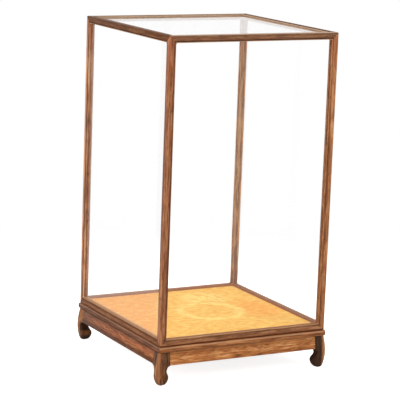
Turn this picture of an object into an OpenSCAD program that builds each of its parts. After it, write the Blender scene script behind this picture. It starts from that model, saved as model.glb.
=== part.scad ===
// Glazed hood on a low footed stand: a five-pane glass case that lifts off a
// hardwood stand with a silk-covered display board.
// Millimetres, +Z up, front towards -Y, origin on the ground under the centre.

/* [Glass hood] */
// Width of the hood over its posts
hood_w = 400; // [280:10:600]
// Depth of the hood over its posts
hood_d = 400; // [280:10:600]
// Height of the hood from its seat to its top
hood_h = 647; // [300:1:900]
// Side of the square section of every hood member
member = 15; // [14.5:0.5:18]
// Radius of the outer arris of every hood member
arris_r = 3.5; // [1:0.5:4]
// Width of the set-back strip that follows each opening
strip_w = 3; // [2:0.5:4]
// Depth of that strip behind the main face
strip_back = 0.9; // [0.4:0.1:1]
// Radius of the quirk groove between the strip and the main face
quirk_r = 0.8; // [0.3:0.1:0.8]
// Radius of the rounded corners of each opening
opening_r = 4; // [2:0.5:6]

/* [Glazing] */
// Thickness of every pane
glass_t = 3; // [2:0.5:3]
// Distance from the outer face of the hood to a side pane
side_setback = 5; // [4:0.5:5.5]
// Distance from the top of the hood down to the top pane
top_setback = 3.5; // [2.5:0.25:3.5]
// Depth to which a pane enters its groove
groove_bite = 4; // [3:0.5:4.5]
// Clearance round a pane in its groove
glass_gap = 0.15; // [0.05:0.05:0.3]

/* [Hood corner joints] */
// Side of the square tenon at each end of a post
post_tenon = 5; // [4:0.5:5.5]
// Distance from the outer faces to the post tenon
post_tenon_in = 5; // [4:0.5:5]
// Wood left over the end of each tenon
tenon_cover = 3; // [2:0.5:4]
// Thickness of the tenon at each end of a front or back rail
rail_tenon_t = 2.75; // [2:0.25:2.75]
// Wood left between that tenon and the groove of the top pane
rail_tenon_in = 0.75; // [0.5:0.05:0.75]
// Wood left between the rail tenon and the inner face
rail_tenon_wall = 1; // [0.75:0.25:1.5]
// Clearance round a tenon in its mortise
joint_gap = 0.1; // [0.05:0.05:0.2]

/* [Stand frame] */
// Width of the ledge left round the hood
ledge = 3; // [2:0.5:8]
// Thickness of the stand's top frame
frame_t = 13; // [10.5:0.5:16]
// Width of each rail of the top frame
frame_rail_w = 45; // [42:1:60]
// Radius of the upper edge of the frame's nose
nose_top_r = 3.5; // [2:0.5:4]
// Radius of the lower edge of the frame's nose
nose_low_r = 6.5; // [3:0.5:6.5]
// Radius of the frame's corners seen from above
frame_corner_r = 4; // [2:0.5:6]
// Width of the tenon in each mitre of the frame
frame_tenon_w = 14; // [10:1:15]
// Thickness of that tenon
frame_tenon_t = 4; // [3:0.5:4.5]
// Distance from the outer edge of the frame to that tenon
frame_tenon_in = 22; // [21:0.5:23]
// Wood left over the end of that tenon
frame_tenon_cover = 10; // [8:1:14]

/* [Floating panel] */
// Thickness of the panel inside the top frame
panel_t = 8; // [7:0.5:9]
// Thickness of the tongue round the panel
tongue_t = 3.5; // [3:0.5:4]
// Depth to which the tongue enters the frame
tongue_bite = 6; // [4:0.5:8]
// Room for the panel to swell
panel_gap = 0.5; // [0.3:0.1:1]
// Width of each batten under the panel
batten_w = 22; // [16:1:30]
// Height of each batten
batten_h = 10; // [8:0.5:12]
// Distance of each batten from the middle of the panel
batten_x = 80; // [40:5:110]
// Height of the dovetail key that enters the panel
key_h = 2.5; // [2:0.5:3]
// Flare of the dovetail key on each side
key_flare = 1.5; // [1:0.5:2]
// Length of the tenon at each end of a batten
batten_tenon = 10; // [6:1:14]
// Thickness of that tenon
batten_tenon_t = 2.5; // [2:0.25:3]

/* [Legs and aprons] */
// Height of the open foot below the aprons
foot_h = 43; // [28:1:60]
// Height of the aprons
apron_h = 27; // [20:1:44]
// Thickness of the aprons at their top
apron_t = 12; // [11:0.5:16]
// Radius of the lower edges of the aprons
apron_edge_r = 1.5; // [0.5:0.5:2]
// Recess of the aprons and legs under the frame's nose
apron_in = 2.5; // [2:0.5:5]
// Outward swell of the legs and aprons
bulge = 4.2; // [1:0.2:6]
// Thickness of a leg at its shoulder
leg_w = 24; // [22:0.5:27]
// Thickness of a leg at its neck
neck_w = 21; // [17:0.5:23]
// Thickness of a leg at its hoof
hoof_w = 26.5; // [23:0.5:30]
// Width of the sole of a foot
sole_w = 11; // [8:0.5:14]
// Distance from the apron's line to the sole
sole_in = 3; // [0:0.5:6]
// Height of the small turned pad under the sole
pad_h = 1.5; // [0.5:0.5:3]
// Radius of the outer arris of a leg at its shoulder
leg_arris_r = 4; // [2:0.5:5]
// Radius of the four arrises of a leg at its hoof
hoof_arris_r = 7; // [4:0.5:8]
// Thickness of the tenon at each end of an apron
apron_tenon_t = 4; // [3:0.5:5]
// Length of that tenon
apron_tenon_l = 8; // [6:0.5:10]
// Wood left above and below that tenon
apron_tenon_in = 5; // [3:0.5:8]
// Distance from the face of an apron to its tenon
apron_tenon_face = 4; // [3.5:0.25:4.5]
// Side of the square tenon on top of a leg
leg_tenon = 9; // [7:0.5:10]
// Distance from the outer faces of a leg to its tenon
leg_tenon_in = 6; // [5:0.5:7]
// Wood left over the leg tenon
leg_tenon_cover = 4; // [3:0.5:6]

/* [Display board] */
// Thickness of the board under the silk
board_t = 10; // [6:0.5:14]
// Thickness of the silk with its lining
silk_t = 1; // [0.5:0.1:1.5]
// Clearance between the silk and the hood's bottom rails
board_gap = 0.5; // [0.3:0.1:1.5]

/* [Hidden] */
$fn = 48;
// a cut runs past the face it opens by this much
past = 1;
// steps of the arc at each corner of a leg's section
arc_steps = 4;
// steps between the sections down the foot and the shoulder of a leg
foot_rows = 20;
shoulder_rows = 6;

// heights
apron_top = foot_h + apron_h;
seat_z = apron_top + frame_t;
hood_top = seat_z + hood_h;
panel_z = seat_z - panel_t;

// plan sizes
stand_w = hood_w + 2 * ledge;
stand_d = hood_d + 2 * ledge;
base_w = stand_w - 2 * apron_in;
base_d = stand_d - 2 * apron_in;
clear_w = hood_w - 2 * member;
clear_d = hood_d - 2 * member;
well_w = stand_w - 2 * frame_rail_w;
well_d = stand_d - 2 * frame_rail_w;

// a member reaches past its square section only at the rounded openings
lump = member + opening_r;

// the rail tenon lies beside the post tenon in the corner block
tenons_apart = 0.5;
rail_tenon_y = post_tenon_in + post_tenon + tenons_apart;
rail_tenon_w = member - rail_tenon_wall - rail_tenon_y;
rail_tenon_z = top_setback + glass_t + rail_tenon_in;

// the silk's corners are rounder than the webs of the rails, which they clear
board_corner_r = opening_r + silk_t;

// the panel's tongue lies nearer its upper face; a batten's tenon lies just
// over the frame's underside and is narrower than the batten
tongue_cover = 1.75;
tongue_z = seat_z - tongue_cover - tongue_t;
batten_tenon_z = apron_top + 1;
batten_shoulder = 3;

// a leg is widest at its knee, narrow at its neck and wide again at its hoof
knee_z = foot_h * 0.72;
neck_z = foot_h * 0.76;
hoof_z = foot_h * 0.36;
neck_inner = neck_w - bulge;
sole_arris_r = sole_w / 2 - 0.1;
shoulder_arris_r = 0.2;
// curve of a hoof from its widest place to its sole, 2 being an ellipse
foot_curve = 1.7;
// the turned pad stands back from the edge of the sole
pad_back = 0.5;

hood_posts = ["hood_post_front_left", "hood_post_front_right",
              "hood_post_back_left", "hood_post_back_right"];
hood_rails = ["hood_top_rail_front", "hood_top_rail_back",
              "hood_top_rail_left", "hood_top_rail_right",
              "hood_bottom_rail_front", "hood_bottom_rail_back",
              "hood_bottom_rail_left", "hood_bottom_rail_right"];
panes = ["glass_front", "glass_back", "glass_left", "glass_right", "glass_top"];
stand_base = ["stand_leg_front_left", "stand_leg_front_right",
              "stand_leg_back_left", "stand_leg_back_right",
              "stand_apron_front", "stand_apron_back",
              "stand_apron_left", "stand_apron_right"];
stand_top = ["stand_frame_rail_front", "stand_frame_rail_back",
             "stand_frame_rail_left", "stand_frame_rail_right",
             "stand_panel", "stand_batten_left", "stand_batten_right",
             "display_board", "silk_cover"];

wood_colour = "#96603f";
apron_colour = "#ab7040";
leg_colour = "#7d4f36";
panel_colour = "#8a5a3c";
board_colour = "#b08a5c";
silk_colour = "#f8c873";
glass_colour = [0.82, 0.90, 0.88, 0.25];

// ---------------------------------------------------------------- helpers

module flip_x(on) {
    if (on) mirror([1, 0, 0]) children();
    else children();
}

module flip_y(on) {
    if (on) mirror([0, 1, 0]) children();
    else children();
}

// turns a piece of the hood's bottom upside down to its top
module flip_hood(on) {
    if (on) translate([0, 0, seat_z + hood_top]) mirror([0, 0, 1]) children();
    else children();
}

// moves to the front left corner of the hood, of the base or of the frame
module hood_corner() {
    translate([-hood_w / 2, -hood_d / 2, seat_z]) children();
}

module base_corner() {
    translate([-base_w / 2, -base_d / 2, 0]) children();
}

module frame_corner() {
    translate([-stand_w / 2, -stand_d / 2, apron_top]) children();
}

// a box given by its low corner and size, grown by a clearance on every side
module grown_box(low, size, gap) {
    translate([for (c = low) c - gap]) cube([for (s = size) s + 2 * gap]);
}

// the wood outside an arc of radius r in the corner at the origin
module corner_waste(r) {
    difference() {
        translate([-past, -past]) square(r + past);
        translate([r, r]) circle(r);
    }
}

// the web of wood inside the corner at the origin of an opening
module corner_web(r) {
    difference() {
        square(r);
        translate([r, r]) circle(r);
    }
}

// extrudes an outline drawn in X and depth along +Y
module extrude_y(length) {
    rotate([90, 0, 0]) mirror([0, 0, 1]) linear_extrude(length) children();
}

// extrudes an outline drawn in Y and Z along +X
module extrude_x(length) {
    rotate([90, 0, 90]) linear_extrude(length) children();
}

// ---------------------------------------------------------------- hood

// outline of a member seen square to one face, mitred at both ends, with a
// rounded web in the corner of the opening beside it
module mitred_outline(length) {
    intersection() {
        polygon([[0, 0], [length, 0], [length - lump, lump], [lump, lump]]);
        union() {
            square([length, member]);
            translate([member, member]) corner_web(opening_r);
            translate([length - member, member])
                mirror([1, 0]) corner_web(opening_r);
        }
    }
}

// moulded section: rounded outer arris, and a set-back strip with a quirk
// along the opening on both outer faces
module moulded_section() {
    strip_at = member - strip_w;
    difference() {
        square(lump);
        corner_waste(arris_r);
        translate([strip_at, -past]) square([lump, strip_back + past]);
        translate([-past, strip_at]) square([strip_back + past, lump]);
        translate([strip_at, strip_back]) circle(quirk_r);
        translate([strip_back, strip_at]) circle(quirk_r);
    }
}

// member along +X with its arris on the X axis: the third of each corner
// block that lies nearest to its own axis belongs to it
module member_blank(length) {
    intersection() {
        linear_extrude(lump) mitred_outline(length);
        extrude_y(lump) mitred_outline(length);
        extrude_x(length) moulded_section();
    }
}

// tenon of a post in the corner block at the origin
module post_tenon_box(gap) {
    grown_box([post_tenon_in, post_tenon_in, tenon_cover],
              [post_tenon, post_tenon, member - tenon_cover], gap);
}

// tenon of a front or back rail in the corner block at the origin
module rail_tenon_box(gap) {
    grown_box([tenon_cover, rail_tenon_y, rail_tenon_z],
              [member - tenon_cover, rail_tenon_w, rail_tenon_t], gap);
}

// the same thing at both ends of a member along X, Y or Z
module both_ends_x(length) {
    children();
    translate([length, 0, 0]) mirror([1, 0, 0]) children();
}

module both_ends_y(length) {
    children();
    translate([0, length, 0]) mirror([0, 1, 0]) children();
}

module both_ends_z(length) {
    children();
    translate([0, 0, length]) mirror([0, 0, 1]) children();
}

module pane_side_x(gap) {
    grown_box([-hood_w / 2 + side_setback,
               -clear_d / 2 - groove_bite,
               seat_z + member - groove_bite],
              [glass_t, clear_d + 2 * groove_bite,
               hood_h - 2 * member + 2 * groove_bite], gap);
}

module pane_side_y(gap) {
    grown_box([-clear_w / 2 - groove_bite,
               -hood_d / 2 + side_setback,
               seat_z + member - groove_bite],
              [clear_w + 2 * groove_bite, glass_t,
               hood_h - 2 * member + 2 * groove_bite], gap);
}

module pane_top(gap) {
    grown_box([-clear_w / 2 - groove_bite,
               -clear_d / 2 - groove_bite,
               hood_top - top_setback - glass_t],
              [clear_w + 2 * groove_bite, clear_d + 2 * groove_bite, glass_t], gap);
}

// the grooves of all five panes
module grooves() {
    pane_side_x(glass_gap);
    mirror([1, 0, 0]) pane_side_x(glass_gap);
    pane_side_y(glass_gap);
    mirror([0, 1, 0]) pane_side_y(glass_gap);
    pane_top(glass_gap);
}

module hood_post(right, back) {
    color(wood_colour) difference() {
        flip_x(right) flip_y(back) hood_corner() {
            mirror([1, 0, -1]) member_blank(hood_h);
            both_ends_z(hood_h) post_tenon_box(0);
        }
        grooves();
    }
}

// front and back rails carry tenons and take the posts' tenons
module hood_rail_x(back, top) {
    color(wood_colour) difference() {
        flip_y(back) flip_hood(top) hood_corner() difference() {
            union() {
                member_blank(hood_w);
                both_ends_x(hood_w) rail_tenon_box(0);
            }
            both_ends_x(hood_w) post_tenon_box(joint_gap);
        }
        grooves();
    }
}

// side rails take the tenons of the posts and of the front and back rails
module hood_rail_y(right, top) {
    color(wood_colour) difference() {
        flip_x(right) flip_hood(top) hood_corner() difference() {
            mirror([1, -1, 0]) member_blank(hood_d);
            both_ends_y(hood_d) {
                post_tenon_box(joint_gap);
                rail_tenon_box(joint_gap);
            }
        }
        grooves();
    }
}

// ---------------------------------------------------------------- stand frame

// section of a frame rail: Y inward from the outer edge, Z up
module nose_section() {
    difference() {
        square([frame_rail_w, frame_t]);
        corner_waste(nose_low_r);
        translate([0, frame_t]) mirror([0, 1]) corner_waste(nose_top_r);
    }
}

module frame_outline(length) {
    difference() {
        polygon([[0, 0], [length, 0],
                 [length - frame_rail_w, frame_rail_w], [frame_rail_w, frame_rail_w]]);
        corner_waste(frame_corner_r);
        translate([length, 0]) mirror([1, 0]) corner_waste(frame_corner_r);
    }
}

module frame_blank(length) {
    intersection() {
        linear_extrude(frame_t) frame_outline(length);
        extrude_x(length) nose_section();
    }
}

// tenon across the mitre at the origin
module frame_tenon_box(gap) {
    grown_box([frame_tenon_cover, frame_tenon_in, (frame_t - frame_tenon_t) / 2],
              [frame_tenon_in + frame_tenon_w - frame_tenon_cover,
               frame_tenon_w, frame_tenon_t], gap);
}

// tenon on top of the leg in the corner at the origin of the base
module leg_tenon_box(gap) {
    grown_box([leg_tenon_in, leg_tenon_in, apron_top],
              [leg_tenon, leg_tenon, frame_t - leg_tenon_cover], gap);
}

module leg_mortises() {
    for (right = [false, true], back = [false, true])
        flip_x(right) flip_y(back) base_corner() leg_tenon_box(joint_gap);
}

// groove round the inner edges of the frame for the panel's tongue
module panel_groove() {
    reach = tongue_bite + panel_gap;
    translate([-well_w / 2 - reach, -well_d / 2 - reach, tongue_z])
        cube([well_w + 2 * reach, well_d + 2 * reach, tongue_t]);
}

module batten_tenons(gap) {
    for (right = [false, true]) flip_x(right)
        grown_box([-batten_x - batten_w / 2 + batten_shoulder,
                   -well_d / 2 - batten_tenon, batten_tenon_z],
                  [batten_w - 2 * batten_shoulder,
                   well_d + 2 * batten_tenon, batten_tenon_t], gap);
}

module frame_rail_x(back) {
    color(wood_colour) difference() {
        flip_y(back) frame_corner() {
            frame_blank(stand_w);
            both_ends_x(stand_w) frame_tenon_box(0);
        }
        panel_groove();
        leg_mortises();
        batten_tenons(joint_gap);
    }
}

module frame_rail_y(right) {
    color(wood_colour) difference() {
        flip_x(right) frame_corner() difference() {
            mirror([1, -1, 0]) frame_blank(stand_d);
            both_ends_y(stand_d) frame_tenon_box(joint_gap);
        }
        panel_groove();
        leg_mortises();
    }
}

// dovetail key along the top of a batten
module batten_key() {
    width = batten_w - 2 * key_flare;
    translate([-batten_x, -well_d / 2 + panel_gap, panel_z]) extrude_y(well_d - 2 * panel_gap)
        polygon([[-width / 2, 0], [width / 2, 0],
                 [width / 2 + key_flare, key_h], [-width / 2 - key_flare, key_h]]);
}

module stand_batten(right) {
    color(panel_colour) flip_x(right) {
        translate([-batten_x - batten_w / 2, -well_d / 2 + panel_gap, panel_z - batten_h])
            cube([batten_w, well_d - 2 * panel_gap, batten_h]);
        batten_key();
        intersection() {
            batten_tenons(0);
            translate([-stand_w / 2, -stand_d / 2, 0]) cube([stand_w / 2, stand_d, seat_z]);
        }
    }
}

module stand_panel() {
    color(panel_colour) difference() {
        union() {
            translate([-well_w / 2 + panel_gap, -well_d / 2 + panel_gap, panel_z])
                cube([well_w - 2 * panel_gap, well_d - 2 * panel_gap, panel_t]);
            translate([-well_w / 2 - tongue_bite, -well_d / 2 - tongue_bite, tongue_z])
                cube([well_w + 2 * tongue_bite, well_d + 2 * tongue_bite, tongue_t]);
        }
        for (right = [false, true]) flip_x(right) batten_key();
    }
}

// ---------------------------------------------------------------- legs and aprons

// share of a quarter round at s between 0 and 1, flat at 0 and steep at 1
function quarter(s, power) = 1 - pow(1 - pow(s, power), 1 / power);

// share of a soft step at s between 0 and 1, flat at both ends
function soft_step(s) = (1 - cos(180 * s)) / 2;

function blend(a, b, s) = a + (b - a) * s;

// offset of the outer face at height z: recessed under the frame, swollen at
// the knee, drawn in to the sole
function outer_at(z) =
    z > knee_z
    ? -bulge * sin(90 * (apron_top - z) / (apron_top - knee_z))
    : blend(-bulge, sole_in, quarter((knee_z - z) / knee_z, foot_curve));

// offset of the inner face at height z: shoulder, neck, hoof and sole
function inner_at(z) =
    z >= foot_h ? leg_w
    : z > neck_z ? blend(neck_inner, leg_w, quarter((z - neck_z) / (foot_h - neck_z), 2))
    : z > hoof_z ? blend(neck_inner, outer_at(hoof_z) + hoof_w,
                         soft_step((neck_z - z) / (neck_z - hoof_z)))
    : blend(outer_at(hoof_z) + hoof_w, sole_in + sole_w,
            quarter((hoof_z - z) / hoof_z, foot_curve));

// radius of the outer arris at height z
function arris_at(z) =
    z > hoof_z
    ? blend(leg_arris_r, hoof_arris_r, soft_step((apron_top - z) / (apron_top - hoof_z)))
    : blend(hoof_arris_r, sole_arris_r, (hoof_z - z) / hoof_z);

// radius of the three other arrises, which stay sharp beside the aprons
function inner_arris_at(z) =
    z >= foot_h ? shoulder_arris_r
    : z > hoof_z
    ? blend(shoulder_arris_r, hoof_arris_r, soft_step((foot_h - z) / (foot_h - hoof_z)))
    : blend(hoof_arris_r, sole_arris_r, (hoof_z - z) / hoof_z);

// quarter arc of points round a centre, from one angle over the next 90 degrees
function arc_points(centre, r, from, z) =
    [for (i = [0 : arc_steps]) let (a = from + 90 * i / arc_steps)
        [centre[0] + r * cos(a), centre[1] + r * sin(a), z]];

// rounded square section of a leg at height z, anticlockwise from above
function leg_section(z) =
    let (lo = outer_at(z), hi = inner_at(z), r = arris_at(z), q = inner_arris_at(z))
    concat(arc_points([lo + r, lo + r], r, 180, z),
           arc_points([hi - q, lo + q], q, 270, z),
           arc_points([hi - q, hi - q], q, 0, z),
           arc_points([lo + q, hi - q], q, 90, z));

// closed solid through a list of sections that run from bottom to top
module loft(sections) {
    count = len(sections[0]);
    rows = len(sections);
    points = [for (s = sections) each s];
    sides = [for (row = [0 : rows - 2], i = [0 : count - 1])
        let (a = row * count + i, b = row * count + (i + 1) % count)
        each [[a, a + count, b], [b, a + count, b + count]]];
    bottom = [for (i = [0 : count - 1]) i];
    top = [for (i = [count - 1 : -1 : 0]) (rows - 1) * count + i];
    polyhedron(points, concat(sides, [bottom, top]));
}

// tenon of a front or back apron in the leg at the origin of the base
module apron_tenon_box(gap) {
    grown_box([leg_w - apron_tenon_l, apron_tenon_face, foot_h + apron_tenon_in],
              [apron_tenon_l + past, apron_tenon_t, apron_h - 2 * apron_tenon_in], gap);
}

module stand_leg(right, back) {
    foot = [for (i = [0 : foot_rows - 1])
        leg_section(blend(pad_h, foot_h, i / foot_rows))];
    shoulder = [for (i = [0 : shoulder_rows]) leg_section(foot_h + apron_h * i / shoulder_rows)];
    sole_mid = sole_in + sole_w / 2;
    color(leg_colour) flip_x(right) flip_y(back) base_corner() {
        difference() {
            loft(concat(foot, shoulder));
            apron_tenon_box(joint_gap);
            mirror([1, -1, 0]) apron_tenon_box(joint_gap);
        }
        translate([sole_mid, sole_mid, 0]) cylinder(pad_h, d = sole_w - 2 * pad_back);
        leg_tenon_box(0);
    }
}

// section of an apron: Y inward from its recessed top edge, Z up
module apron_section() {
    face = [for (i = [0 : shoulder_rows]) let (z = foot_h + apron_h * i / shoulder_rows)
        [outer_at(z), z]];
    lip = outer_at(foot_h);
    difference() {
        polygon(concat([[apron_t, apron_top], [apron_t, foot_h]], face));
        translate([lip, foot_h]) corner_waste(apron_edge_r);
        translate([apron_t, foot_h]) mirror([1, 0]) corner_waste(apron_edge_r);
    }
}

// apron between two legs whose outer corners are a length apart
module apron(length) {
    translate([leg_w, 0, 0]) extrude_x(length - 2 * leg_w) apron_section();
    both_ends_x(length) apron_tenon_box(0);
}

module apron_x(back) {
    color(apron_colour) flip_y(back) base_corner() apron(base_w);
}

module apron_y(right) {
    color(apron_colour) flip_x(right) base_corner() mirror([1, -1, 0]) apron(base_d);
}

// ---------------------------------------------------------------- display board

// block with round corners that clear the webs in the corners of the rails
module board_block(inset, height) {
    width = clear_w - 2 * board_gap - 2 * inset;
    depth = clear_d - 2 * board_gap - 2 * inset;
    translate([0, 0, seat_z]) linear_extrude(height) difference() {
        square([width, depth], center = true);
        for (right = [false, true], back = [false, true])
            flip_x(right) flip_y(back) translate([-width / 2, -depth / 2])
                corner_waste(board_corner_r - inset);
    }
}

module display_board() {
    color(board_colour) board_block(silk_t, board_t);
}

module silk_cover() {
    color(silk_colour) difference() {
        board_block(0, board_t + silk_t);
        board_block(silk_t, board_t);
    }
}

// ---------------------------------------------------------------- nodes

hood_post(false, false);  // hood_post_front_left
hood_post(true, false);  // hood_post_front_right
hood_post(false, true);  // hood_post_back_left
hood_post(true, true);  // hood_post_back_right
hood_rail_x(false, true);  // hood_top_rail_front
hood_rail_x(true, true);  // hood_top_rail_back
hood_rail_y(false, true);  // hood_top_rail_left
hood_rail_y(true, true);  // hood_top_rail_right
hood_rail_x(false, false);  // hood_bottom_rail_front
hood_rail_x(true, false);  // hood_bottom_rail_back
hood_rail_y(false, false);  // hood_bottom_rail_left
hood_rail_y(true, false);  // hood_bottom_rail_right
color(glass_colour) pane_side_y(0);  // glass_front
color(glass_colour) mirror([0, 1, 0]) pane_side_y(0);  // glass_back
color(glass_colour) pane_side_x(0);  // glass_left
color(glass_colour) mirror([1, 0, 0]) pane_side_x(0);  // glass_right
color(glass_colour) pane_top(0);  // glass_top
stand_leg(false, false);  // stand_leg_front_left
stand_leg(true, false);  // stand_leg_front_right
stand_leg(false, true);  // stand_leg_back_left
stand_leg(true, true);  // stand_leg_back_right
apron_x(false);  // stand_apron_front
apron_x(true);  // stand_apron_back
apron_y(false);  // stand_apron_left
apron_y(true);  // stand_apron_right
frame_rail_x(false);  // stand_frame_rail_front
frame_rail_x(true);  // stand_frame_rail_back
frame_rail_y(false);  // stand_frame_rail_left
frame_rail_y(true);  // stand_frame_rail_right
stand_panel();
stand_batten(false);  // stand_batten_left
stand_batten(true);  // stand_batten_right
display_board();
silk_cover();
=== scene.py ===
import math

import bpy
from mathutils import Matrix, Vector


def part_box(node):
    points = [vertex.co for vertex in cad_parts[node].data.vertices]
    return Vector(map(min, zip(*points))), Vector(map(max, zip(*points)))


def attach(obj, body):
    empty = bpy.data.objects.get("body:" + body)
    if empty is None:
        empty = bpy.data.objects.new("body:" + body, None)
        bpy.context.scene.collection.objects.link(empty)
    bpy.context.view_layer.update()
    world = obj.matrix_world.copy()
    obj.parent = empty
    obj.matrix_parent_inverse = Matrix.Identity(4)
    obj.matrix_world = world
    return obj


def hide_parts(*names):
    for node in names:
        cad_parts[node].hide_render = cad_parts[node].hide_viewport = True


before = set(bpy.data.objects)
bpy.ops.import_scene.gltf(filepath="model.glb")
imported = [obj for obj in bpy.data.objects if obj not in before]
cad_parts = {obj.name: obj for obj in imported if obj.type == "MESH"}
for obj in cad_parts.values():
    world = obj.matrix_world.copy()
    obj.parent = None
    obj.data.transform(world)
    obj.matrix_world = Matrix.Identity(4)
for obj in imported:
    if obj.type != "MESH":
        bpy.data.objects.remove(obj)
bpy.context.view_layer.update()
mm = 0.001


def toLinear(hexColour):
    # sRGB hex text to the linear colour that shaders take
    parts = [int(hexColour[i:i + 2], 16) / 255 for i in (1, 3, 5)]
    return [p / 12.92 if p <= 0.04045 else ((p + 0.055) / 1.055) ** 2.4 for p in parts] + [1]


def addNode(tree, kind, settings=None, links=None):
    # a socket in links is joined, anything else is set on the input
    made = tree.nodes.new(kind)
    for name, value in (settings or {}).items():
        setattr(made, name, value)
    for name, source in (links or {}).items():
        if isinstance(source, bpy.types.NodeSocket):
            tree.links.new(source, made.inputs[name])
        else:
            made.inputs[name].default_value = source
    return made


# settings that many nodes share
smooth = {"interpolation_type": "SMOOTHSTEP"}
add, subtract, multiply = {"operation": "ADD"}, {"operation": "SUBTRACT"}, {"operation": "MULTIPLY"}
multiplyAdd, absolute = {"operation": "MULTIPLY_ADD"}, {"operation": "ABSOLUTE"}
least, most, sine = {"operation": "MINIMUM"}, {"operation": "MAXIMUM"}, {"operation": "SINE"}
scaled, vectorLength = {"operation": "SCALE"}, {"operation": "LENGTH"}
inSpace = {"noise_dimensions": "3D"}
inColour = {"data_type": "RGBA"}        # the factor goes in at 0, the colours at 6 and 7, and 2 gives the mix


def newMaterial(name):
    material = bpy.data.materials.new(name)
    material.use_nodes = True
    material.node_tree.nodes.clear()
    return material


def deselectAll():
    if bpy.context.mode != "OBJECT":
        bpy.ops.object.mode_set(mode="OBJECT")
    bpy.ops.object.select_all(action="DESELECT")


def pick(obj):
    deselectAll()
    obj.select_set(True)
    bpy.context.view_layer.objects.active = obj


def camel(node):
    head, *rest = node.split("_")
    return head + "".join(part.capitalize() for part in rest)


def size(node):
    low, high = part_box(node)
    return Vector(low), Vector(high)


corners = ("front_left", "front_right", "back_left", "back_right")
sidesAlong = {"x": ("front", "back"), "y": ("left", "right")}       # sides whose members run along an axis

seat = size("hood_bottom_rail_front")[0].z
hoodTop = size("hood_top_rail_front")[1].z
halfHood = size("hood_post_front_right")[1].x
halfBase = -size("stand_leg_front_left")[0].x
apronLow = size("stand_apron_front")[0].z
apronTop = size("stand_frame_rail_front")[0].z
silkLow, silkHigh = size("silk_cover")

print("frame read: seat at", round(seat, 4), "top at", round(hoodTop, 4))


cameraLook = {
    "place": (-1.904040, -3.492783, 1.126666),
    "yaw": 28.4712,          # degrees to the right of +Y
    "down": 11.1270,
    "roll": 2.0930,
    "lens": 167.0036,
    "sensor": 36.0,
    "clip": (0.1, 100),
}


def makeCamera(look):
    yaw, down, roll = (math.radians(look[name]) for name in ("yaw", "down", "roll"))
    ahead = Vector((math.sin(yaw) * math.cos(down), math.cos(yaw) * math.cos(down), -math.sin(down)))
    right = Vector((math.cos(yaw), -math.sin(yaw), 0))
    up = right.cross(ahead)
    sideways = math.cos(roll) * right + math.sin(roll) * up
    upright = math.cos(roll) * up - math.sin(roll) * right
    data = bpy.data.cameras.new("photoCamera")
    data.sensor_fit = "HORIZONTAL"
    data.sensor_width = look["sensor"]
    data.lens = look["lens"]
    data.clip_start, data.clip_end = look["clip"]
    camera = bpy.data.objects.new("photoCamera", data)
    bpy.context.scene.collection.objects.link(camera)
    turned = Matrix((sideways, upright, -ahead)).transposed().to_4x4()
    camera.matrix_world = Matrix.Translation(look["place"]) @ turned
    bpy.context.scene.camera = camera


plainWhite = {"Color": toLinear("#FFFFFF"), "Strength": 1.0}      # white as the eye is to see it

lightLook = {
    "world": 0.80,            # even light from all round
    "lamps": {
        # name: place, aim, width and height in metres, watts, colour
        "keySoftbox": ((1.9, -3.0, 2.3), (0, 0, 0.25), (1.6, 1.6), 36, "#FFFAF4"),
        "fillSoftbox": ((-3.2, -0.6, 1.5), (0, 0, 0.3), (1.4, 1.8), 52, "#FFFAF6"),
        "topSoftbox": ((0.2, 0.4, 3.0), (0, 0, 0.3), (2.2, 2.2), 12, "#FFFFFF"),
    },
}


def seenRays(tree, rays):
    # 1 for rays from the eye, and for those that polish and glass send on
    seen = rays.outputs["Is Camera Ray"]
    for name in ("Is Glossy Ray", "Is Transmission Ray"):
        seen = addNode(tree, "ShaderNodeMath", most, {0: seen, 1: rays.outputs[name]}).outputs[0]
    return seen


def makeLights(look):
    for name, (place, aim, spread, watts, colour) in look["lamps"].items():
        data = bpy.data.lights.new(name, "AREA")
        data.shape = "RECTANGLE"
        data.size, data.size_y = spread
        data.energy = watts
        data.color = toLinear(colour)[:3]
        lamp = bpy.data.objects.new(name, data)
        bpy.context.scene.collection.objects.link(lamp)
        turn = (Vector(aim) - Vector(place)).to_track_quat("-Z", "Y")
        lamp.matrix_world = Matrix.Translation(place) @ turn.to_matrix().to_4x4()
        # the eye and the glass see the white studio, not the lamps
        lamp.visible_camera = lamp.visible_glossy = lamp.visible_transmission = False
    # white to the eye and in the glass, a plain even level on the case
    world = bpy.data.worlds.new("studio")
    bpy.context.scene.world = world
    world.use_nodes = True
    tree = world.node_tree
    tree.nodes.clear()
    seen = seenRays(tree, addNode(tree, "ShaderNodeLightPath"))
    white = addNode(tree, "ShaderNodeBackground", links=plainWhite)
    even = addNode(tree, "ShaderNodeBackground", links=dict(plainWhite, Strength=look["world"]))
    mixed = addNode(tree, "ShaderNodeMixShader", links={0: seen, 1: even.outputs[0], 2: white.outputs[0]})
    addNode(tree, "ShaderNodeOutputWorld", links={"Surface": mixed.outputs[0]})


floorLook = {
    "width": 16.0, "paper": "#DBDBD9",
    "lift": 0.84,                       # glow for the eye, so that the paper near the case looks white
    "fadeFrom": 0.55, "fadeTo": 1.3,    # metres from the case
}


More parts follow.
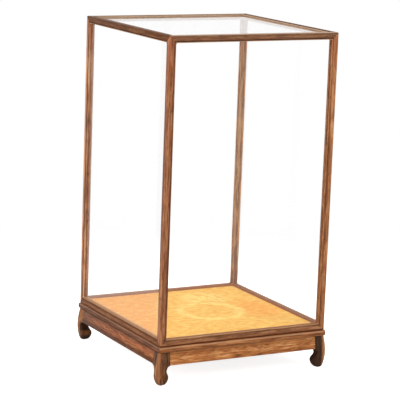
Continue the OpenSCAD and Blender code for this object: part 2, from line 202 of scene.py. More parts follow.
def makeFloor(look):
    deselectAll()
    bpy.ops.mesh.primitive_plane_add(size=look["width"], location=(0, 0, 0))
    floor = bpy.context.object
    floor.name = "paperFloor"
    material = newMaterial("paperFloor")
    tree = material.node_tree
    rays = addNode(tree, "ShaderNodeLightPath")
    paper = addNode(tree, "ShaderNodeBsdfDiffuse", links={"Color": toLinear(look["paper"])})
    white = addNode(tree, "ShaderNodeEmission", links=plainWhite)
    lift = addNode(tree, "ShaderNodeEmission", links=dict(plainWhite, Strength=look["lift"]))
    lifted = addNode(tree, "ShaderNodeAddShader", links={0: paper.outputs[0], 1: lift.outputs[0]})
    # what shines in the wood and the glass is the paper at its own level, without the lift
    near = addNode(tree, "ShaderNodeMixShader", links={
        0: rays.outputs["Glossy Depth"], 1: lifted.outputs[0], 2: paper.outputs[0]})
    # far from the case the paper is plain white, so that no edge shows
    where = addNode(tree, "ShaderNodeNewGeometry")
    away = addNode(tree, "ShaderNodeVectorMath", vectorLength, {0: where.outputs["Position"]})
    fade = addNode(tree, "ShaderNodeMapRange", smooth, {
        "Value": away.outputs["Value"], "From Min": look["fadeFrom"], "From Max": look["fadeTo"]})
    shown = addNode(tree, "ShaderNodeMixShader", links={
        0: fade.outputs[0], 1: near.outputs[0], 2: white.outputs[0]})
    mixed = addNode(tree, "ShaderNodeMixShader", links={
        0: seenRays(tree, rays), 1: paper.outputs[0], 2: shown.outputs[0]})
    addNode(tree, "ShaderNodeOutputMaterial", links={"Surface": mixed.outputs[0]})
    floor.data.materials.append(material)


bpy.context.scene.view_settings.view_transform = "Standard"
makeCamera(cameraLook)
makeLights(lightLook)
makeFloor(floorLook)
print("camera, lights and floor made")


def span(start, full, base=0.0, low=0.0, high=1.0):
    # a ramp from low at start to high at full, both in mm past a base in metres
    return {"From Min": base + start * mm, "From Max": base + full * mm, "To Min": low, "To Max": high}


# What wax, wear and dust leave on the wood, and painted light and painted shade, are drawn by marks. A mark
# is a list of ramps that are multiplied, a hex colour and a strength, and the marks of a piece are laid on in
# order. A ramp names what it runs over, and where it starts and is full; "either" takes the higher of two
# ramps.
quirk = [("hoodSection", span(10.0, 11.1)), ("hoodSection", span(13.6, 12.5))]
foot = [("Z", span(-5.4, -2.2, seat)), ("Z", span(5.4, 2.2, seat))]
behindPanes = [("hoodFace", span(7, 9))]
reveal = [("hoodSection", span(13.9, 14.7))]            # the inner sides of the openings
groove = [("hoodFace", span(-0.8, 0.6)), ("Z", span(-2.2, -1.8, seat))]     # under the hood's rounded foot

raggedEdge = {"raggedHeight": 4, "legSide": 9}          # mm that the streaks move the edge of a mark


def planDistance(tree, xyz, half, which):
    # in from the outer faces of a square plan: least for the nearer face at a corner, most for the farther
    flats = []
    for name in "XY":
        away = addNode(tree, "ShaderNodeMath", absolute, {0: xyz.outputs[name]}).outputs[0]
        flats.append(addNode(tree, "ShaderNodeMath", subtract, {0: half, 1: away}).outputs[0])
    return addNode(tree, "ShaderNodeMath", which, {0: flats[0], 1: flats[1]}).outputs[0]


def hoodSection(tree, xyz):
    # distance in from the two nearer outer faces of the hood, the larger of the two:
    # the quirk beside each opening lies at one value of it on every member
    near = planDistance(tree, xyz, halfHood, least)
    far = planDistance(tree, xyz, halfHood, most)
    up = addNode(tree, "ShaderNodeMath", subtract, {0: xyz.outputs["Z"], 1: seat}).outputs[0]
    down = addNode(tree, "ShaderNodeMath", subtract, {0: hoodTop, 1: xyz.outputs["Z"]}).outputs[0]
    high = addNode(tree, "ShaderNodeMath", least, {0: up, 1: down}).outputs[0]
    far = addNode(tree, "ShaderNodeMath", least, {0: far, 1: high}).outputs[0]
    return addNode(tree, "ShaderNodeMath", most, {0: near, 1: far}).outputs[0]


def measure(tree, xyz, streaks, name):
    # what the ramp of a mark runs over
    if name in ("X", "Y", "Z"):
        return xyz.outputs[name]
    if name == "streaks":
        return streaks
    if name == "hoodFace":
        return planDistance(tree, xyz, halfHood, least)
    if name == "hoodSection":
        return hoodSection(tree, xyz)
    if name == "legArris":
        near = planDistance(tree, xyz, halfBase, least)
        far = planDistance(tree, xyz, halfBase, most)
        return addNode(tree, "ShaderNodeMath", subtract, {0: far, 1: near}).outputs[0]
    even = planDistance(tree, xyz, halfBase, most) if name == "legSide" else xyz.outputs["Z"]
    return addNode(tree, "ShaderNodeMath", multiplyAdd, {
        0: streaks, 1: raggedEdge[name] * mm, 2: even}).outputs[0]


# Rosewood, planed, scraped and waxed: a warm brown with long darker streaks and short
# open pores, satin on the pale wood and duller in the dark streaks.
rosewood = {
    "dark": "#683D26", "mid": "#945B35", "light": "#BA8358", "pore": "#442514",
    "streakAcross": 2.0, "streakAlong": 50,     # mm
    "bandAcross": 11, "bandAlong": 320,
    "poreAcross": 1.5, "poreAlong": 14,         # pores are drawn four times as wide to show
    "wander": 3.0, "wanderOver": 90,
    "figure": 0.15, "figureOver": 7,            # strength of the growth rings, and mm that they spread over
    "roughLow": 0.38, "roughHigh": 0.58, "ior": 1.5,
    "coat": 0.04, "coatRough": 0.28, "shine": 0.14,
    "bump": 0.5, "poreDepth": 0.06,
    "seed": 0.0,                                # moves the pattern, so that no two pieces are alike
    "marks": [],
}

# how the grain is drawn in every wood
grainDrawing = {
    # detail and roughness of each noise, and a shift that keeps it clear of the others
    "drift": (1.0, 0.5, 0.0), "streak": (4.0, 0.62, 3.1), "band": (2.0, 0.5, 7.7),
    "pore": (2.0, 0.6, 12.3), "swell": (2.0, 0.55, 21.9),
    "driftSeed": (1.0, 0.37, 0.71), "noiseSeed": (1.0, 1.3, 0.0),       # how far the seed moves it each way
    "driftAcross": 0.45,                                        # times wanderOver
    "swellAcross": 3.2, "swellAlong": 22, "swellTurn": 34.0,    # times figureOver; radians over the swell
    "streakRange": {"From Min": 0.28, "From Max": 0.72},
    "bandRange": {"From Min": 0.32, "From Max": 0.68},
    "poreRange": {"From Min": 0.56, "From Max": 0.66},
    "roughRange": {"From Min": 0.3, "From Max": 0.7},
    "streakShare": 0.62, "bandShare": 0.38, "poreStrength": 0.72,
    "darkAt": 0.12, "midAt": 0.5, "lightAt": 0.88,
}

along = {"x": (1, 0, 0), "y": (0, 1, 0), "z": (0, 0, 1)}


def grainScale(axis, across, length):
    # one turn of the pattern per across and length, both in mm
    return [1000 / (length if on else across) for on in along[axis]]


def makeWood(name, look, axis):
    material = newMaterial(name)
    tree = material.node_tree
    draw = grainDrawing
    where = addNode(tree, "ShaderNodeTexCoord").outputs["Object"]

    def noise(part, vector, across, length, moved):
        detail, rough, shift = draw[part]
        placed = addNode(tree, "ShaderNodeMapping", links={
            "Vector": vector, "Location": [look["seed"] * share + shift for share in moved],
            "Scale": grainScale(axis, across, length)})
        return addNode(tree, "ShaderNodeTexNoise", inSpace, {
            "Vector": placed.outputs[0], "Scale": 1.0, "Detail": detail, "Roughness": rough})

    # the grain wanders across the piece
    over = look["wanderOver"]
    drift = noise("drift", where, over * draw["driftAcross"], over, draw["driftSeed"]).outputs["Color"]
    drift = addNode(tree, "ShaderNodeVectorMath", subtract, {0: drift, 1: (0.5, 0.5, 0.5)}).outputs[0]
    drift = addNode(tree, "ShaderNodeVectorMath", scaled, {0: drift, "Scale": look["wander"] * mm}).outputs[0]
    wandered = addNode(tree, "ShaderNodeVectorMath", add, {0: where, 1: drift}).outputs[0]
    # rings of growth, cut lengthwise, show as slow figured lines
    patterns = {
        "streak": (look["streakAcross"], look["streakAlong"]),
        "band": (look["bandAcross"], look["bandAlong"]),
        "pore": (look["poreAcross"], look["poreAlong"]),
        "swell": (look["figureOver"] * draw["swellAcross"], look["figureOver"] * draw["swellAlong"]),
    }
    streaks, bands, pores, swell = (
        noise(part, wandered, *step, draw["noiseSeed"]).outputs["Fac"] for part, step in patterns.items())
    swell = addNode(tree, "ShaderNodeMath", multiply, {0: swell, 1: draw["swellTurn"]}).outputs[0]
    rings = addNode(tree, "ShaderNodeMath", sine, {0: swell}).outputs[0]

    streaky = addNode(tree, "ShaderNodeMapRange", links={"Value": streaks, **draw["streakRange"]}).outputs[0]
    broad = addNode(tree, "ShaderNodeMapRange", links={"Value": bands, **draw["bandRange"]}).outputs[0]
    tone = 0.0
    for part, share in ((streaky, draw["streakShare"]), (broad, draw["bandShare"]), (rings, look["figure"])):
        tone = addNode(tree, "ShaderNodeMath", multiplyAdd, {0: part, 1: share, 2: tone}).outputs[0]
    toned = addNode(tree, "ShaderNodeValToRGB", links={0: tone})
    stops = toned.color_ramp.elements
    stops[0].position, stops[0].color = draw["darkAt"], toLinear(look["dark"])
    stops[1].position, stops[1].color = draw["lightAt"], toLinear(look["light"])
    stops.new(draw["midAt"]).color = toLinear(look["mid"])

    poreMask = addNode(tree, "ShaderNodeMapRange", smooth, {"Value": pores, **draw["poreRange"]}).outputs[0]
    thin = addNode(tree, "ShaderNodeMath", multiply, {0: poreMask, 1: draw["poreStrength"]}).outputs[0]
    colour = addNode(tree, "ShaderNodeMix", inColour, {
        0: thin, 6: toned.outputs["Color"], 7: toLinear(look["pore"])}).outputs[2]
    xyz = addNode(tree, "ShaderNodeSeparateXYZ", links={0: where})
    measured = {}

    def ramped(over, ramp):
        if over == "either":
            first, second = (ramped(*one) for one in ramp)
            return addNode(tree, "ShaderNodeMath", most, {0: first, 1: second}).outputs[0]
        if over not in measured:
            measured[over] = measure(tree, xyz, streaks, over)
        return addNode(tree, "ShaderNodeMapRange", smooth, {"Value": measured[over], **ramp}).outputs[0]

    for ramps, tint, mask in look["marks"]:
        for over, ramp in ramps:
            mask = addNode(tree, "ShaderNodeMath", multiply, {0: ramped(over, ramp), 1: mask}).outputs[0]
        colour = addNode(tree, "ShaderNodeMix", inColour, {0: mask, 6: colour, 7: toLinear(tint)}).outputs[2]

    rough = addNode(tree, "ShaderNodeMapRange", links={
        "Value": streaks, **draw["roughRange"],
        "To Min": look["roughHigh"], "To Max": look["roughLow"]}).outputs[0]
    height = addNode(tree, "ShaderNodeMath", multiplyAdd, {0: poreMask, 1: -1.0, 2: streaky}).outputs[0]
    bump = addNode(tree, "ShaderNodeBump", links={
        "Strength": look["bump"], "Distance": look["poreDepth"] * mm, "Height": height})
    surface = addNode(tree, "ShaderNodeBsdfPrincipled", links={
        "Base Color": colour, "Roughness": rough, "IOR": look["ior"], "Coat Weight": look["coat"],
        "Coat Roughness": look["coatRough"], "Specular IOR Level": look["shine"],
        "Normal": bump.outputs[0]})
    addNode(tree, "ShaderNodeOutputMaterial", links={"Surface": surface.outputs[0]})
    return material


def hoodMarks(marks, inQuirk=0.7, atFoot=0.85):
    # old wax and painted shade darken the quirk beside each opening and the foot of the hood, where it meets
    # the frame
    return marks + [(quirk, "#3E2212", inQuirk), (foot, "#5E2E12", atFoot)]


# behind the panes the posts carry painted shade; hands that lift the hood keep its top redder
postMarks = [([("Z", span(-110, -20, hoodTop))], "#94462C", 0.3), (behindPanes, "#4A2C1A", 0.35)]
# the posts are cut from redder boards than the rails, the back pair from paler ones
postLook = {
    "front_left": dict(rosewood, seed=9.1, dark="#683C27", mid="#915835", light="#B88059",
                       marks=hoodMarks(postMarks)),
    "front_right": dict(rosewood, seed=12.6, dark="#76482E", mid="#A4693F", light="#CA9266",
                        marks=hoodMarks(postMarks, inQuirk=0.15)),
    "back_left": dict(rosewood, seed=16.1, dark="#8A5E45", mid="#B97F5D", light="#D6A784",
                      marks=hoodMarks(postMarks)),
    "back_right": dict(rosewood, seed=19.6, dark="#623C22", mid="#B0764A", light="#E0AE7C",
                       marks=hoodMarks(postMarks)),
}
postWood = {end: makeWood("waxedRosewoodPost" + camel("_" + end), look, "z")
            for end, look in postLook.items()}

# painted light: the strips beside the openings are painted pale
topStripLight = [([("hoodSection", span(13.3, 14.3))], "#D8B08C", 0.4)]
# the outer faces are darker near the top
darkerNearTop = [("hoodFace", span(3.5, 1.5)), ("Z", span(-8, -3, hoodTop))]
# painted light pales the top faces, hardly at the sides; the lips over the top pane are paler
topFace = [("Z", span(-1.4, -0.3, hoodTop))]
lip = [("Z", span(-4.4, -3.4, hoodTop)), ("hoodSection", span(12.0, 13.2))]
paintedLightOnTop = {"x": 0.5, "y": 0.05}
topMarks = {axis: hoodMarks(topStripLight) + [
    (darkerNearTop, "#46301F", 0.4), (topFace, "#CDB39B", topLight), (lip, "#BCA28C", 0.6)]
    for axis, topLight in paintedLightOnTop.items()}

# painted light pales the bottom rails beside the openings, and they are deeper orange behind the panes; the
# left rail is paler behind its pane instead, and the feet of both side rails have less painted shade
behindRight = behindPanes + [("X", span(-10, 10))]
behindLeft = behindPanes + [("X", span(10, -10))]
lowMarks = {
    "x": hoodMarks([(reveal, "#D8A87C", 0.45), (behindPanes, "#8A4412", 0.65)], inQuirk=0.35),
    "y": hoodMarks([(reveal, "#D8A87C", 0.4), (behindRight, "#8A4412", 0.65), (behindLeft, "#E6A672", 0.4)],
                   inQuirk=0.35, atFoot=0.5),
}

# the rails out of the light are duller, with dust in their wax
dusty = dict(rosewood, coat=0.0, shine=0.05)
railLook = {
    ("top", "x"): dict(rosewood, seed=0.0, dark="#64402A", mid="#895A3F", light="#A87A54",
                       marks=topMarks["x"]),
    ("top", "y"): dict(dusty, seed=4.2, dark="#4C2C19", mid="#6B4228", light="#885E3E",
                       marks=topMarks["y"]),
    ("bottom", "x"): dict(dusty, seed=51.0, dark="#744C32", mid="#996747", light="#BC8A65",
                          marks=lowMarks["x"]),
    ("bottom", "y"): dict(dusty, seed=55.2, dark="#6A442F", mid="#7C5037", light="#8E6144",
                          marks=lowMarks["y"]),
}
railName = {"top": "waxedRosewoodTopRail", "bottom": "waxedRosewoodLowRail"}
railWood = {(level, axis): makeWood(railName[level] + axis.upper(), look, axis)
            for (level, axis), look in railLook.items()}

# the stand's frame: browner boards, those of the sides painted darker than the front's, as shade; the noses
# carry painted highlights, painted light lifts the shade under the front and back noses, and the groove under
# the hood's foot holds painted shade at the front and back, and is painted paler at the sides
# bands of painted highlight on the noses, and of painted light under the front and back noses
frontNoseHighlight = [("Z", span(-4.6, -3.4, seat)), ("Z", span(-0.2, -1.4, seat))]
sideNoseHighlight = [("Z", span(-2.6, -1.7, seat)), ("Z", span(0.2, -0.7, seat))]
underNoseLight = [("Z", span(3, 1.5, apronTop))]
frameLook = {
    "x": dict(rosewood, seed=15.3, dark="#66391D", mid="#92562C", light="#BC7F4D", marks=[
        (frontNoseHighlight, "#DDB08A", 0.35), (underNoseLight, "#D09A6C", 0.5), (groove, "#5E2E12", 0.4)]),
    "y": dict(rosewood, seed=18.8, dark="#482917", mid="#6D422B", light="#8F5E41", marks=[
        (sideNoseHighlight, "#D8A680", 0.22), (groove, "#CA9C78", 0.36)]),
}
frameWood = {axis: makeWood("waxedRosewoodFrame" + axis.upper(), look, axis)
             for axis, look in frameLook.items()}

# the aprons: figured boards, more orange, with wavy light lines
figured = dict(rosewood, streakAcross=1.8, streakAlong=36, wander=5.0, wanderOver=60,
               figure=0.14, figureOver=4)
# those at the front and back carry painted shadow above, under the frame's nose, and painted light along the
# top edge, where it lifts that shadow; they are rubbed pale along the lower arris, and painted highlights run
# in a few pale lines along the middle
frontApronMarks = [
    ([("Z", span(11, 24, apronLow))], "#643719", 0.3),
    ([("Z", span(-1.4, -0.4, apronTop))], "#E8B078", 0.2),
    ([("Z", span(7.5, 11.5, apronLow)), ("Z", span(18.5, 14.5, apronLow)),
      ("streaks", {"From Min": 0.54, "From Max": 0.68})], "#F0C898", 0.5),
    ([("Z", span(2.4, 0.8, apronLow))], "#E8BC98", 0.3),
]
# those at the sides are painted darker than the front's, as shade; they are orange along the upper middle,
# have painted shadow under the frame, are browner towards the back, and have painted shade along the lower
# edge
sideApronMarks = [
    ([("Z", span(12, 16, apronLow)), ("Z", span(24, 20, apronLow)),
      ("streaks", {"From Min": 0.42, "From Max": 0.56})], "#C8764A", 0.28),
    ([("Z", span(-7, -3, apronTop))], "#4C3022", 0.4),
    ([("Y", span(60, 150))], "#583A24", 0.45),
    ([("raggedHeight", span(15, 10, apronLow))], "#4C2815", 0.75),
]
apronLook = {
    "x": dict(figured, seed=23.4, dark="#884D25", mid="#B3703C", light="#D89A60", marks=frontApronMarks),
    "y": dict(figured, seed=27.9, dark="#5E301A", mid="#8E5230", light="#B07248", marks=sideApronMarks),
}
apronWood = {axis: makeWood("figuredRosewoodApron" + axis.upper(), look, axis)
             for axis, look in apronLook.items()}

# the legs: dense heartwood, with painted shade on the inner sides, darker towards the feet, and the outer
# arris rubbed pale
heartwood = dict(rosewood, dark="#4E2B1A", mid="#85502E", light="#B47D4E", streakAcross=2.6, streakAlong=34)
# on the front left leg the painted shade lies beside the aprons, and below them only on the side that faces
# right
shadeBesideAprons = ("either", [("Z", span(-2, 2, apronLow)), ("X", span(10, 16, -halfBase, high=0.8))])
# the back left leg has less painted shade on its shoulder, and half as much on the swell of its hoof, 14 to
# 20 mm up
lessShadeOnShoulder = ("Z", span(-3, 2, apronLow, low=1.0, high=0.25))
lessShadeOnHoof = [("Z", span(9, 14, low=1.0, high=0.5)), ("Z", span(20, 25, low=1.0, high=2.0))]
legLook = {
    # where the inner side carries painted shade and how strongly, and how strongly the leg darkens towards
    # the foot
    "front_left": {"seed": 31.7, "inner": [("legSide", span(13, 19)), shadeBesideAprons], "wax": 0.66, "dirt": 0.3},
    "front_right": {"seed": 34.6, "inner": [("legSide", span(12, 18))], "wax": 0.89, "dirt": 0.6},
    "back_left": {"seed": 37.5, "inner": [("legSide", span(18, 26)), lessShadeOnShoulder, *lessShadeOnHoof],
                  "wax": 0.86, "dirt": 0.4},
    "back_right": {"seed": 40.4, "inner": [("legSide", span(13, 19))], "wax": 0.86, "dirt": 0.5},
}
legWood = {}
for end, look in legLook.items():
    wood = dict(heartwood, seed=look["seed"], marks=[
        (look["inner"], "#24160F", look["wax"]), ([("Z", span(22, 0))], "#3A251A", look["dirt"]),
        ([("legArris", span(5, 1))], "#C48E62", 0.3)])
    legWood[end] = makeWood("waxedRosewoodLeg" + camel("_" + end), wood, "z")

# out of sight: planed softwood, never polished
softwood = dict(rosewood, coat=0.0, roughLow=0.6, roughHigh=0.75)
panelLook = dict(softwood, seed=36.1, dark="#7B5236", mid="#946747", light="#AD8260")
boardLook = dict(softwood, seed=41.5, dark="#A5835A", mid="#B8966A", light="#CBAC82", pore="#8A6A46")
panelWood = makeWood("planedSoftwoodPanel", panelLook, "y")
boardWood = makeWood("planedPineBoard", boardLook, "x")
print("woods made")


# Old float glass, drawn smooth and clear: it shows as a soft wash where it is seen aslant. Its IOR is
# lower than float glass has, 1.52, because the photograph shows little more than that wash.
glassLook = {"tint": "#FFFFFF", "ior": 1.42, "rough": 0.0, "lamps": "#FCFDFD"}


def makeGlass(look):
    material = newMaterial("clearFloatGlass")
    tree = material.node_tree
    body = addNode(tree, "ShaderNodeBsdfPrincipled", links={
        "Base Color": toLinear(look["tint"]), "Roughness": look["rough"], "IOR": look["ior"],
        "Transmission Weight": 1.0})
    # light passes straight through, so the case doesn't stand in its own dark shadow
    clear = addNode(tree, "ShaderNodeBsdfTransparent", links={"Color": toLinear(look["lamps"])})
    rays = addNode(tree, "ShaderNodeLightPath")
    passing = addNode(tree, "ShaderNodeMath", most, {
        0: rays.outputs["Is Shadow Ray"], 1: rays.outputs["Is Diffuse Ray"]})
    mixed = addNode(tree, "ShaderNodeMixShader", links={
        0: passing.outputs[0], 1: body.outputs[0], 2: clear.outputs[0]})
    addNode(tree, "ShaderNodeOutputMaterial", links={"Surface": mixed.outputs[0]})
    return material


clearGlass = makeGlass(glassLook)


# Yellow silk damask, woven in satin: a matt ground with a paler figure in the same colour and
# crosswise slubs. Places and steps are in mm.
silkLook = {
    "ground": "#FDC25D", "groundRed": "#FFA843", "figure": "#FFE688", "slub": "#F0A63C",
    # each noise: step along X and Y, detail, and a shift that keeps it clear of the others
    "ringNoise": (26, 20, 3.0, 5.5), "cloudNoise": (15, 30, 2.0, 2.2),
    "slubNoise": (40, 4.0, 3.0, 9.4),           # slubs are drawn ten times as coarse to show
    "mottleNoise": (17, 11, 4.0, 13.7),
    "noiseRough": 0.6, "noiseSkew": 0.6,        # the shift along Y, as a share of the one along X
    # a soft ring about 67 in radius: its noise makes it ragged, and adds about 11 to each distance
    "ringAt": (23, -3), "ringRagged": 22, "ringInside": span(57, 75), "ringOutside": span(99, 81),
    "ringStrength": 0.74,
    # loose clouds behind it, in an oval
    "cloudAt": (62, 102), "cloudWide": 62, "cloudHigh": 64,
    "cloudEdge": {"From Min": 1.15, "From Max": 0.4}, "cloudPuffs": {"From Min": 0.36, "From Max": 0.54},
    # a painted reflection makes the left side redder, and an oval patch beside the ring is redder too
    "reflectionSlant": 0.5, "reflectionSide": span(-60, -130),
    "redAt": (134, -24), "redWide": 46, "redDeep": 70,
    "redPatch": {"From Min": 0.5, "From Max": 1.6, "To Min": 0.75, "To Max": 0.0},
    # how the satin's mottling breaks the figure, flecks the ground and streaks it
    "mottleShare": 0.7, "slubShare": 0.3,
    "broken": {"From Min": 0.40, "From Max": 0.58, "To Min": 0.38, "To Max": 1.0},
    "fleck": {"From Min": 0.50, "From Max": 0.64, "To Min": 0.0, "To Max": 0.5},
    "streak": {"From Min": 0.50, "From Max": 0.37, "To Min": 0.0, "To Max": 0.75},
    "weaveStep": 1.1, "threadHeight": 0.08,     # threads are drawn about ten times as coarse to show
    "slubHeight": 1.2, "bump": 0.35,            # slubs stand out by this many threads
    "rough": 0.62, "shine": 0.08, "ior": 1.5,
}


def makeSilk(look):
    material = newMaterial("yellowSilkDamask")
    tree = material.node_tree
    where = addNode(tree, "ShaderNodeTexCoord").outputs["Object"]
    xyz = addNode(tree, "ShaderNodeSeparateXYZ", links={0: where})

    def noise(stepX, stepY, detail, shift):
        placed = addNode(tree, "ShaderNodeMapping", links={
            "Vector": where, "Location": (shift, shift * look["noiseSkew"], 0),
            "Scale": (1000 / stepX, 1000 / stepY, 1)})
        return addNode(tree, "ShaderNodeTexNoise", inSpace, {
            "Vector": placed.outputs[0], "Scale": 1.0, "Detail": detail,
            "Roughness": look["noiseRough"]}).outputs["Fac"]

    def distance(at, wide, deep):
        # from a point on the cloth, as a multiple of wide along X and of deep along Y
        placed = addNode(tree, "ShaderNodeMapping", links={
            "Vector": where, "Location": (-at[0] / wide, -at[1] / deep, 0),
            "Scale": (1000 / wide, 1000 / deep, 0)})
        return addNode(tree, "ShaderNodeVectorMath", vectorLength, {0: placed.outputs[0]}).outputs["Value"]

    # a soft ring
    away = distance(look["ringAt"], 1000, 1000)
    ragged = addNode(tree, "ShaderNodeMath", multiplyAdd, {
        0: noise(*look["ringNoise"]), 1: look["ringRagged"] * mm, 2: away}).outputs[0]
    ring = look["ringStrength"]
    for ramp in (look["ringInside"], look["ringOutside"]):
        part = addNode(tree, "ShaderNodeMapRange", smooth, {"Value": ragged, **ramp}).outputs[0]
        ring = addNode(tree, "ShaderNodeMath", multiply, {0: part, 1: ring}).outputs[0]
    # loose clouds behind it
    spot = distance(look["cloudAt"], look["cloudWide"], look["cloudHigh"])
    inside = addNode(tree, "ShaderNodeMapRange", smooth, {"Value": spot, **look["cloudEdge"]}).outputs[0]
    puffs = addNode(tree, "ShaderNodeMapRange", smooth, {
        "Value": noise(*look["cloudNoise"]), **look["cloudPuffs"]}).outputs[0]
    clouds = addNode(tree, "ShaderNodeMath", multiply, {0: inside, 1: puffs}).outputs[0]
    figure = addNode(tree, "ShaderNodeMath", most, {0: clouds, 1: ring}).outputs[0]
    # the figure breaks up along the threads, and the satin is mottled all over
    slubs = noise(*look["slubNoise"])
    mottle = addNode(tree, "ShaderNodeMath", multiply, {
        0: noise(*look["mottleNoise"]), 1: look["mottleShare"]}).outputs[0]
    mottle = addNode(tree, "ShaderNodeMath", multiplyAdd, {
        0: slubs, 1: look["slubShare"], 2: mottle}).outputs[0]
    broken = addNode(tree, "ShaderNodeMapRange", links={"Value": mottle, **look["broken"]}).outputs[0]
    figure = addNode(tree, "ShaderNodeMath", multiply, {0: figure, 1: broken}).outputs[0]
    fleck = addNode(tree, "ShaderNodeMapRange", links={"Value": mottle, **look["fleck"]}).outputs[0]
    figure = addNode(tree, "ShaderNodeMath", most, {0: figure, 1: fleck}).outputs[0]
    # the ground is redder towards the left, as a painted reflection, and in the patch, and streaked crosswise
    slant = addNode(tree, "ShaderNodeMath", multiplyAdd, {
        0: xyz.outputs["Y"], 1: -look["reflectionSlant"], 2: xyz.outputs["X"]}).outputs[0]
    reflectionAndPatch = addNode(tree, "ShaderNodeMapRange", smooth, {"Value": slant, **look["reflectionSide"]}).outputs[0]
    patch = distance(look["redAt"], look["redWide"], look["redDeep"])
    patch = addNode(tree, "ShaderNodeMapRange", smooth, {"Value": patch, **look["redPatch"]}).outputs[0]
    reflectionAndPatch = addNode(tree, "ShaderNodeMath", most, {0: reflectionAndPatch, 1: patch}).outputs[0]
    ground = addNode(tree, "ShaderNodeMix", inColour, {
        0: reflectionAndPatch, 6: toLinear(look["ground"]), 7: toLinear(look["groundRed"])}).outputs[2]
    streak = addNode(tree, "ShaderNodeMapRange", links={"Value": mottle, **look["streak"]}).outputs[0]
    ground = addNode(tree, "ShaderNodeMix", inColour, {
        0: streak, 6: ground, 7: toLinear(look["slub"])}).outputs[2]
    colour = addNode(tree, "ShaderNodeMix", inColour, {
        0: figure, 6: ground, 7: toLinear(look["figure"])}).outputs[2]
    # warp and weft as a fine bump
    threads = []
    for name in "XY":
        turn = addNode(tree, "ShaderNodeMath", multiply, {
            0: xyz.outputs[name], 1: 2 * math.pi * 1000 / look["weaveStep"]}).outputs[0]
        threads.append(addNode(tree, "ShaderNodeMath", sine, {0: turn}).outputs[0])
    cross = addNode(tree, "ShaderNodeMath", multiply, {0: threads[0], 1: threads[1]}).outputs[0]
    height = addNode(tree, "ShaderNodeMath", multiplyAdd, {
        0: slubs, 1: look["slubHeight"], 2: cross}).outputs[0]
    bump = addNode(tree, "ShaderNodeBump", links={
        "Strength": look["bump"], "Distance": look["threadHeight"] * mm, "Height": height})
    surface = addNode(tree, "ShaderNodeBsdfPrincipled", links={
        "Base Color": colour, "Roughness": look["rough"], "IOR": look["ior"],
        "Specular IOR Level": look["shine"], "Normal": bump.outputs[0]})
    addNode(tree, "ShaderNodeOutputMaterial", links={"Surface": surface.outputs[0]})
    return material


yellowSilk = makeSilk(silkLook)
print("glass and silk made")


arrisWear = {"width": 0.35, "segments": 2, "sharper": 32}     # mm, steps, degrees
meshCare = {"merge": 0.001, "flat": 0.4}                      # mm, degrees


def dressNode(node, body, material, wear=arrisWear, smoothTo=35):
    # a copy of the solid with its arrises worn round; the solid itself stays hidden
    piece = bpy.data.objects.new(camel(node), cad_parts[node].data.copy())
    piece.data.name = piece.name
    bpy.context.scene.collection.objects.link(piece)
    pick(piece)
    bpy.ops.object.mode_set(mode="EDIT")
    bpy.ops.mesh.select_all(action="SELECT")
    bpy.ops.mesh.remove_doubles(threshold=meshCare["merge"] * mm)
    if wear:
        bpy.ops.mesh.dissolve_limited(angle_limit=math.radians(meshCare["flat"]))
    bpy.ops.mesh.normals_make_consistent(inside=False)
    bpy.ops.object.mode_set(mode="OBJECT")
    if wear:
        worn = piece.modifiers.new("worn", "BEVEL")
        worn.width = wear["width"] * mm
        worn.segments = wear["segments"]
        worn.limit_method = "ANGLE"
        worn.angle_limit = math.radians(wear["sharper"])
        worn.use_clamp_overlap = True
        bpy.ops.object.modifier_apply(modifier=worn.name)
    bpy.ops.object.shade_smooth_by_angle(angle=math.radians(smoothTo))
    piece.data.materials.clear()
    piece.data.materials.append(material)
    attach(piece, body)
    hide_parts(node)


for end in corners:
    dressNode("hood_post_" + end, "hood", postWood[end])
for axis, ends in sidesAlong.items():
    for level in ("top", "bottom"):
        for end in ends:
            dressNode("hood_" + level + "_rail_" + end, "hood", railWood[level, axis])
for axis, ends in sidesAlong.items():
    for end in ends:
        dressNode("stand_frame_rail_" + end, "stand", frameWood[axis])
        dressNode("stand_apron_" + end, "stand", apronWood[axis])
for end in corners:
    dressNode("stand_leg_" + end, "stand", legWood[end], wear=None, smoothTo=50)
print("wood pieces dressed")

# the solids that stay as they are
plainNodes = {
    "stand_panel": panelWood, "stand_batten_left": panelWood, "stand_batten_right": panelWood,
    "display_board": boardWood,
    "glass_front": clearGlass, "glass_back": clearGlass,
    "glass_left": clearGlass, "glass_right": clearGlass, "glass_top": clearGlass,
}
for node, material in plainNodes.items():
    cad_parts[node].data.materials.clear()
    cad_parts[node].data.materials.append(material)


silkSize = {
    # mm, apart from the counts of steps and cells
    "cloth": 0.4, "edgeRound": 1.4, "turnDown": 10.6, "corner": 5.0, "clear": 0.1,
    "edgeSteps": 4, "cornerSteps": 6, "cells": 44,
    # the lining's slow swell: height, length, and its waves along X and Y with their starts in radians
    "puff": 0.16, "puffOver": 47, "puffWaves": (2.1, 1.7), "puffStart": (1.3, 0.4),
    # short pulls run in from the edges: height, spacing, the length it varies over, and reach
    "pull": 0.22, "pullOver": 9, "pullDrift": 31, "pullReach": 26,
    # both begin past the rounded edge, as a multiple of it, and grow over this much
    "stillEdge": 1.5, "calmOver": 20,
    "roundSaves": 0.4,          # cloth saved by a rounded edge, as a share of its radius
    "level": 0.01,              # what lies this far under the top isn't part of it
    "levelNormal": 0.5,         # nor is a face whose normal rises less than this
    "smoothTo": 50,             # degrees
}


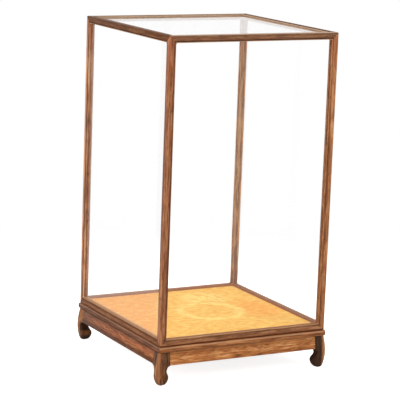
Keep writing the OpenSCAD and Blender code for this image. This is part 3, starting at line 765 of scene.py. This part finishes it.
def makeSilkCover(look):
    width = silkHigh.x - silkLow.x - 2 * look["clear"] * mm
    depth = silkHigh.y - silkLow.y - 2 * look["clear"] * mm
    top = silkHigh.z
    deselectAll()
    bpy.ops.mesh.primitive_plane_add(size=1, location=(0, 0, top))
    cover = bpy.context.object
    cover.name = cover.data.name = "silkCover"
    cover.scale = (width, depth, 1)
    bpy.ops.object.transform_apply(location=True, rotation=True, scale=True)
    bpy.ops.object.mode_set(mode="EDIT")
    bpy.ops.mesh.select_all(action="SELECT")
    bpy.ops.mesh.bevel(offset=look["corner"] * mm, segments=look["cornerSteps"], affect="VERTICES")
    # cut into cells, so that the cloth can give a little
    for step in range(1, look["cells"]):
        for side, normal in ((width, (1, 0, 0)), (depth, (0, 1, 0))):
            at = (step / look["cells"] - 0.5) * side
            bpy.ops.mesh.select_all(action="SELECT")
            bpy.ops.mesh.bisect(plane_co=[at * n for n in normal], plane_no=normal)
    # the border is drawn down over the board's edge
    bpy.ops.mesh.select_all(action="DESELECT")
    bpy.ops.mesh.select_mode(type="EDGE")
    bpy.ops.mesh.select_non_manifold(extend=False, use_boundary=True, use_wire=False,
                                     use_multi_face=False, use_non_contiguous=False, use_verts=False)
    bpy.ops.mesh.extrude_region_move(TRANSFORM_OT_translate={"value": (0, 0, -look["turnDown"] * mm)})
    bpy.ops.object.mode_set(mode="OBJECT")
    # the edges between the level top and the upright border are rounded
    for part in (*cover.data.edges, *cover.data.polygons):
        part.select = False
    rim = {}
    for face in cover.data.polygons:
        for key in face.edge_keys:
            rim.setdefault(key, []).append(abs(face.normal.z) > look["levelNormal"])
    for edge in cover.data.edges:
        edge.select = sorted(rim[edge.key]) == [False, True]
    bpy.ops.object.mode_set(mode="EDIT")
    bpy.ops.mesh.bevel(offset=look["edgeRound"] * mm, segments=look["edgeSteps"], affect="EDGES")
    bpy.ops.mesh.select_all(action="SELECT")
    bpy.ops.mesh.normals_make_consistent(inside=False)
    bpy.ops.object.mode_set(mode="OBJECT")
    # the lining swells a little under the silk, and short pulls run in from its edges
    still = look["stillEdge"] * look["edgeRound"]
    for vertex in cover.data.vertices:
        x, y, z = vertex.co
        edge = min(width / 2 - abs(x), depth / 2 - abs(y)) / mm
        if z < top - look["level"] * mm or edge < still:
            continue
        calm = min(1, (edge - still) / look["calmOver"])
        swell = 1
        for place, waves, start in zip((x, y), look["puffWaves"], look["puffStart"]):
            swell *= math.sin(place / mm / look["puffOver"] * waves + start)
        run = (x if depth / 2 - abs(y) < width / 2 - abs(x) else y) / mm
        pull = math.sin(run / look["pullOver"] * 2 * math.pi + 2 * math.sin(run / look["pullDrift"]))
        near = max(0, 1 - edge / look["pullReach"])
        vertex.co.z += (look["puff"] * calm * (swell - 1) + look["pull"] * near * calm * (pull - 1)) * mm
    cloth = cover.modifiers.new("cloth", "SOLIDIFY")
    cloth.thickness = look["cloth"] * mm
    cloth.offset = -1
    pick(cover)
    bpy.ops.object.modifier_apply(modifier=cloth.name)
    bpy.ops.object.shade_smooth_by_angle(angle=math.radians(look["smoothTo"]))
    cover.data.materials.append(yellowSilk)
    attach(cover, "stand")
    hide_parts("silk_cover")


makeSilkCover(silkSize)
print("silk cover made")
